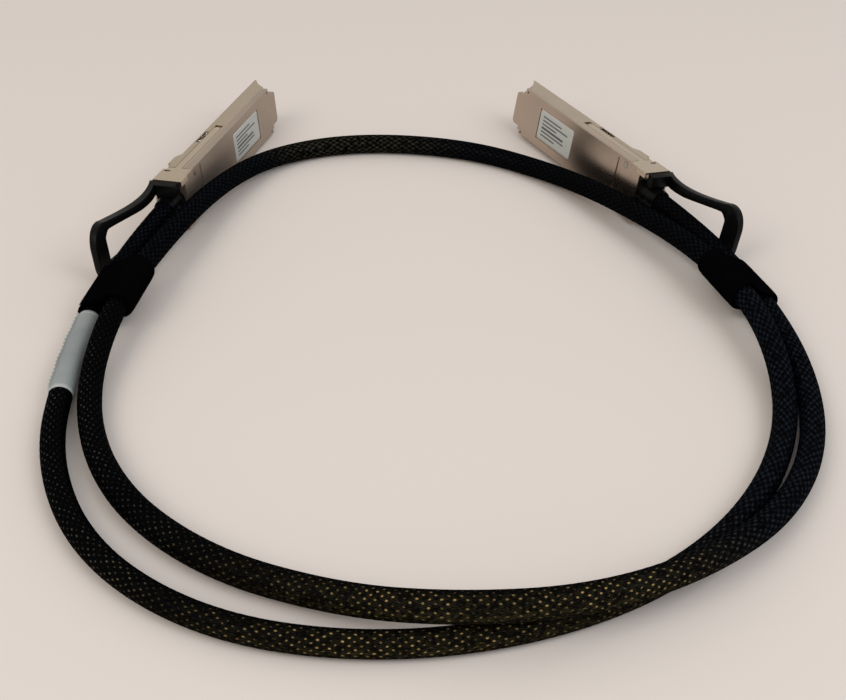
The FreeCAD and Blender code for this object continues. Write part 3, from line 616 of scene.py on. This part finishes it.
# ---------------------------------------------------------------- marker
def make_marker(line):
    """Film wrapped round one strand: most of a circle round the cable, whose two ends run off
    together as a flat fin, carried along the strand. Its size waves by a hundredth or two."""
    low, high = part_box("wrap_label")
    _, level, above = side_frames(line)
    first_third = np.arange(len(line)) < len(line) // 3
    chosen = (first_third & (line[:, 1] > low.y - MARKER_TAIL) & (line[:, 1] < high.y - MM)
              & (line[:, 0] < MARKER_INNER_X))
    centre, level, above = line[chosen], level[chosen], above[chosen]
    outward = level * np.sign(-level[:, :1])
    radius = CABLE_DIAMETER / 2 + WRAP_FIT
    angle = np.radians(np.linspace(35, 385, 60))
    ring_out, ring_up = np.cos(angle) * radius, np.sin(angle) * radius
    fin = np.linspace(0.15, 1, 8) * FIN_REACH
    fin_out = ring_out[0] + fin * FIN_DIRECTION[0]
    fin_up = ring_up[0] + fin * FIN_DIRECTION[1]
    profile_out = np.concatenate([fin_out[::-1], ring_out, fin_out])
    profile_up = np.concatenate([fin_up[::-1], ring_up, fin_up - FIN_OPENING])
    wave = 1 + 0.02 * np.sin(np.linspace(0, 23, len(centre)))[:, None]
    points = (centre[:, None] + (profile_out[None] * wave)[..., None] * outward[:, None]
              + (profile_up[None] * wave)[..., None] * above[:, None])
    uv = np.stack(np.meshgrid(np.linspace(0, 1, len(centre)),
                              np.linspace(0, 1, len(profile_out)), indexing="ij"), -1)
    marker = grid_mesh("marker_wrap", points, False, False, uv)
    wall = marker.modifiers.new("wall", "SOLIDIFY")
    wall.thickness = MARKER_FILM
    wall.offset = 0
    give([marker], film_finish())
    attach(marker, "cable_assembly")
    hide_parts("wrap_label")
    return marker


# ---------------------------------------------------------------- labels
def plug_frame(side):
    """A plug's own origin at the front edge of its label face, and its directions back, across
    and out of the outer face, opposite the label, worked out from two of its mounts."""
    mounts = {m["name"]: m for m in frame["record"]["mounts"]}
    nose = mounts[side + "_plug_nose"]
    outward = np.array(mounts[side + "_outer_face"]["axis"])
    back = -np.array(nose["axis"])
    origin = np.array(nose["pos_m"]) + FACE_BACK * back - FACE_DEPTH * outward
    return origin, back, np.cross(outward, back), outward


def make_label(side, finish):
    """A label with rounded corners, its edges a hair lower than its middle: it sinks by 0.05 mm
    times exp(-60 r), with r the share of its length or width to the nearest edge."""
    origin, back, across, outward = plug_frame(side)
    uu, vv = np.meshgrid(np.linspace(0, 1, 24), np.linspace(0, 1, 16), indexing="ij")
    inset = LABEL_CORNER * np.clip(1 - np.minimum(vv, 1 - vv) * 18, 0, 1) ** 2
    x = LABEL_START + inset + uu * (LABEL_LENGTH - 2 * inset)
    y = (vv - 0.5) * LABEL_WIDTH
    rim = np.minimum(np.minimum(uu, 1 - uu), np.minimum(vv, 1 - vv))
    z = 0.10 * MM + 0.05 * MM * np.exp(-rim * 60)
    points = (origin + x[..., None] * back + y[..., None] * across + z[..., None] * outward)
    flip = 1 if side == "left" else -1      # so that the print reads the same way up
    uv = np.stack([0.5 + flip * (0.5 - uu), 0.5 + flip * (vv - 0.5)], -1)
    label = grid_mesh(side + "_label_print", points[:, ::-1], False, False, uv[:, ::-1])
    wall = label.modifiers.new("wall", "SOLIDIFY")
    wall.thickness = LABEL_PAPER
    wall.offset = -1
    give([label], finish)
    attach(label, "cable_assembly")
    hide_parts(side + "_label")


# ---------------------------------------------------------------- pull tabs
def make_tab(side, finish):
    """The moulded tab with its edges rounded: its solid's mesh, merged and freed of flat seams,
    then bevelled."""
    node = frame["nodes"][side + "_pull_tab"]
    mesh = node.data.copy()
    shape = bmesh.new()
    shape.from_mesh(mesh)
    bmesh.ops.remove_doubles(shape, verts=shape.verts, dist=0.002 * MM)
    bmesh.ops.dissolve_limit(shape, angle_limit=math.radians(1), verts=shape.verts,
                             edges=shape.edges)
    shape.to_mesh(mesh)
    shape.free()
    mesh.polygons.foreach_set("use_smooth", np.ones(len(mesh.polygons), bool))
    tab = bpy.data.objects.new(side + "_tab_moulding", mesh)
    bpy.context.scene.collection.objects.link(tab)
    tab.matrix_world = node.matrix_world.copy()
    soft = tab.modifiers.new("soft_edges", "BEVEL")
    soft.width = TAB_EDGE
    soft.segments = 3
    soft.limit_method = "ANGLE"
    soft.angle_limit = math.radians(50)
    soft.harden_normals = True
    give([tab], finish)
    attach(tab, side + "_latch")
    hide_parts(side + "_pull_tab")


# ---------------------------------------------------------------- floor and light
def make_floor():
    """A plain pale table, one colour all over."""
    h = FLOOR_HALF
    points = np.array([[[-h, -h, 0], [-h, h, 0]], [[h, -h, 0], [h, h, 0]]])
    floor = grid_mesh("table", points, False, False)
    f = Finish("pale_table")
    f.set(Base_Color=(0.70, 0.645, 0.62), Roughness=0.7, Specular_IOR_Level=0.15)
    give([floor], f)


def make_light():
    """Plain soft studio light: an even, slightly warm world and two broad lamps."""
    world = bpy.data.worlds.new("world")
    world.use_nodes = True
    sky = world.node_tree.nodes["Background"]
    sky.inputs[0].default_value = (*WORLD_COLOR, 1.0)
    sky.inputs[1].default_value = WORLD_LEVEL
    bpy.context.scene.world = world
    for name, place, power, color in LAMPS:
        data = bpy.data.lights.new(name, "AREA")
        data.shape = "DISK"
        data.size = LAMP_SIZE
        data.energy = power
        data.color = color
        lamp = bpy.data.objects.new(name, data)
        bpy.context.scene.collection.objects.link(lamp)
        lamp.location = place
        aim = Vector(LAMP_AIM) - Vector(place)
        lamp.rotation_euler = aim.to_track_quat("-Z", "Y").to_euler()


# ---------------------------------------------------------------- assembly
make_camera()
line, steps = cable_line()
cable = make_cable(line, steps)
ties = [make_tie("left_tie", line, -1), make_tie("right_tie", line, 1)]
give(ties, tape_finish())
marker = make_marker(line)
label_print = label_finish()
for side in ("left", "right"):
    make_label(side, label_print)

NODE_FINISHES = {
    "cover_shell": metal_finish("plated_cover", (0.52, 0.425, 0.325), 0.22, 1400.0),
    "latch_slider": metal_finish("stamped_latch", (0.58, 0.48, 0.37), 0.24, 700.0),
    "shell_screws": metal_finish("bright_screw", (0.42, 0.38, 0.33), 0.20, 500.0, 0.02),
    "crimp_ferrule": metal_finish("crimped_sleeve", (0.62, 0.62, 0.62), 0.35, 900.0),
    "return_springs": metal_finish("spring_wire", (0.55, 0.55, 0.55), 0.25, 900.0),
    "gold_contacts": metal_finish("contact_gold", (0.83, 0.60, 0.22), 0.2, 900.0, 0.03),
    "paddle_card": card_finish(),
    "twinax_pairs": metal_finish("pair_film", (0.45, 0.50, 0.62), 0.3, 500.0),
    "pull_tab": rubber_finish("moulded_tab", (0.0012, 0.0013, 0.0015), 0.38, 900.0, 0.02 * MM,
                              0.10),
    "cable_boot": rubber_finish("shrunk_boot", (0.001, 0.001, 0.0012), 0.34, 500.0, 0.1 * MM, 0.10),
}
BASE_FINISHES = {            # the same part at both ends; they differ for the look alone
    # The left copy is a little darker, a painted shade, and rougher than the right.
    "left": metal_finish("shaded_rough_base", (0.47, 0.395, 0.335), 0.46, 1400.0),
    "right": metal_finish("plated_base", (0.50, 0.41, 0.335), 0.22, 1400.0, 0.02),
}
for side in ("left", "right"):
    give([frame["nodes"][side + "_base_shell"]], BASE_FINISHES[side])
    for piece_name, finish in NODE_FINISHES.items():
        give([frame["nodes"][side + "_" + piece_name]], finish)

for side in ("left", "right"):
    make_tab(side, NODE_FINISHES["pull_tab"])

make_floor()
make_light()
bpy.context.scene.view_settings.view_transform = "Standard"
